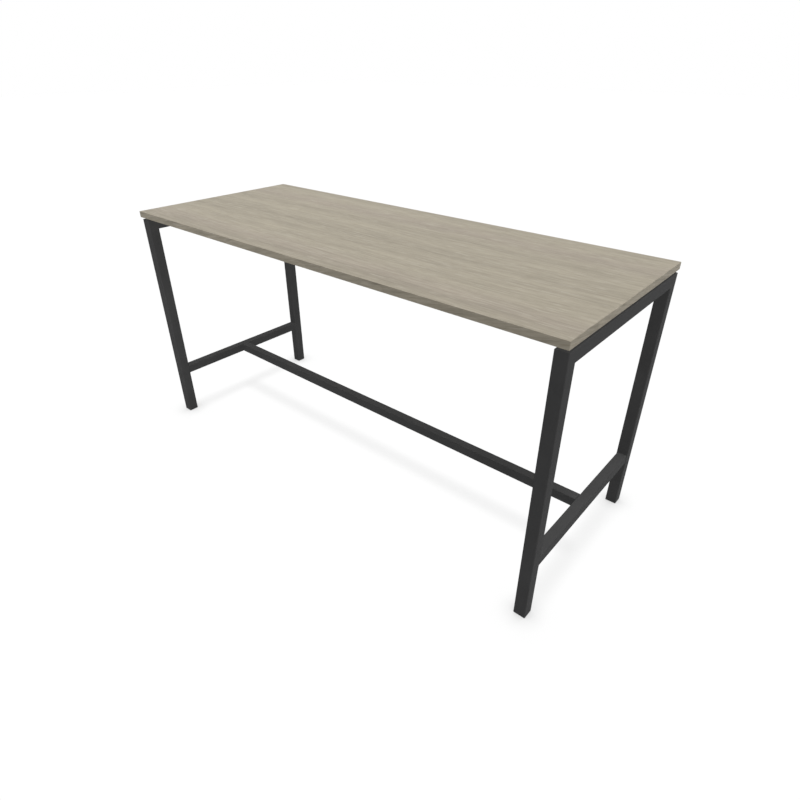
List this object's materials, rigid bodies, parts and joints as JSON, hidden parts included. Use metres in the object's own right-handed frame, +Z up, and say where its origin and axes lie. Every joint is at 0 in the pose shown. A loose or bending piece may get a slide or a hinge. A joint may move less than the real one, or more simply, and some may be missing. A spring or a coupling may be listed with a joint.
{
  "type": "standing meeting table",
  "caption": "Long standing-height table: an oak-decor board floats over welded square-tube end frames, tied by beams and a low foot rail, on levelling feet.",
  "frame": {"origin": "on the floor, under the middle of the board", "axes": "+X along the table's length to the right, +Y from the front to the back, +Z up"},
  "size_m": [2.1, 0.83, 1.05],
  "materials": {
    "oak_decor": "matt melamine facing with a pale grey-beige oak decor, grain along the length",
    "edge_band": "matt edge band with the same oak decor",
    "frame_coat": "dark grey fine-texture powder coat on steel",
    "foot_plastic": "black moulded nylon",
    "spacer_plastic": "black moulded plastic",
    "zinc_steel": "bright zinc-plated steel"
  },
  "bodies": {
    "table": {"top_panel": "oak_decor", "edge_band_front": "edge_band", "edge_band_back": "edge_band", "edge_band_left": "edge_band", "edge_band_right": "edge_band", "leg_front_left": "frame_coat", "beam_plate_front_left": "frame_coat", "leg_insert_front_left": "foot_plastic", "plate_bolt_front_left_1": "zinc_steel", "plate_bolt_front_left_2": "zinc_steel", "leg_front_right": "frame_coat", "beam_plate_front_right": "frame_coat", "leg_insert_front_right": "foot_plastic", "plate_bolt_front_right_1": "zinc_steel", "plate_bolt_front_right_2": "zinc_steel", "leg_back_left": "frame_coat", "beam_plate_back_left": "frame_coat", "leg_insert_back_left": "foot_plastic", "plate_bolt_back_left_1": "zinc_steel", "plate_bolt_back_left_2": "zinc_steel", "leg_back_right": "frame_coat", "beam_plate_back_right": "frame_coat", "leg_insert_back_right": "foot_plastic", "plate_bolt_back_right_1": "zinc_steel", "plate_bolt_back_right_2": "zinc_steel", "top_rail_left": "frame_coat", "cross_bar_left": "frame_coat", "foot_rail_spigot_left": "frame_coat", "foot_rail_set_screw_left_1": "zinc_steel", "foot_rail_set_screw_left_2": "zinc_steel", "top_rail_right": "frame_coat", "cross_bar_right": "frame_coat", "foot_rail_spigot_right": "frame_coat", "foot_rail_set_screw_right_1": "zinc_steel", "foot_rail_set_screw_right_2": "zinc_steel", "foot_rail": "frame_coat", "beam_front": "frame_coat", "beam_back": "frame_coat", "spacer_front_left": "spacer_plastic", "top_screw_front_left": "zinc_steel", "spacer_front_right": "spacer_plastic", "top_screw_front_right": "zinc_steel", "spacer_front_middle": "spacer_plastic", "top_screw_front_middle": "zinc_steel", "spacer_back_left": "spacer_plastic", "top_screw_back_left": "zinc_steel", "spacer_back_right": "spacer_plastic", "top_screw_back_right": "zinc_steel", "spacer_back_middle": "spacer_plastic", "top_screw_back_middle": "zinc_steel"},
    "pad_front_left": {"foot_pad_front_left": "foot_plastic"},
    "stud_front_left": {"foot_stud_front_left": "zinc_steel"},
    "pad_front_right": {"foot_pad_front_right": "foot_plastic"},
    "stud_front_right": {"foot_stud_front_right": "zinc_steel"},
    "pad_back_left": {"foot_pad_back_left": "foot_plastic"},
    "stud_back_left": {"foot_stud_back_left": "zinc_steel"},
    "pad_back_right": {"foot_pad_back_right": "foot_plastic"},
    "stud_back_right": {"foot_stud_back_right": "zinc_steel"}
  },
  "joints": [
    {"name": "foot_height_front_left", "type": "slide", "parent": "table", "child": "pad_front_left", "axis": [0, 0, -1], "range_m": [0, 0.012]},
    {"name": "foot_turn_front_left", "type": "hinge", "parent": "pad_front_left", "child": "stud_front_left", "pos_m": [-1.0275, -0.3845, 0], "axis": [0, 0, -1], "range_deg": [0, 2880]},
    {"name": "foot_height_front_right", "type": "slide", "parent": "table", "child": "pad_front_right", "axis": [0, 0, -1], "range_m": [0, 0.012]},
    {"name": "foot_turn_front_right", "type": "hinge", "parent": "pad_front_right", "child": "stud_front_right", "pos_m": [1.0275, -0.3845, 0], "axis": [0, 0, -1], "range_deg": [0, 2880]},
    {"name": "foot_height_back_left", "type": "slide", "parent": "table", "child": "pad_back_left", "axis": [0, 0, -1], "range_m": [0, 0.012]},
    {"name": "foot_turn_back_left", "type": "hinge", "parent": "pad_back_left", "child": "stud_back_left", "pos_m": [-1.0275, 0.3845, 0], "axis": [0, 0, -1], "range_deg": [0, 2880]},
    {"name": "foot_height_back_right", "type": "slide", "parent": "table", "child": "pad_back_right", "axis": [0, 0, -1], "range_m": [0, 0.012]},
    {"name": "foot_turn_back_right", "type": "hinge", "parent": "pad_back_right", "child": "stud_back_right", "pos_m": [1.0275, 0.3845, 0], "axis": [0, 0, -1], "range_deg": [0, 2880]}
  ],
  "couplings": [
    {"joint": "foot_turn_front_left", "follows": "foot_height_front_left", "rad_per_m": 4188.8},
    {"joint": "foot_turn_front_right", "follows": "foot_height_front_right", "rad_per_m": 4188.8},
    {"joint": "foot_turn_back_left", "follows": "foot_height_back_left", "rad_per_m": 4188.8},
    {"joint": "foot_turn_back_right", "follows": "foot_height_back_right", "rad_per_m": 4188.8}
  ]
}
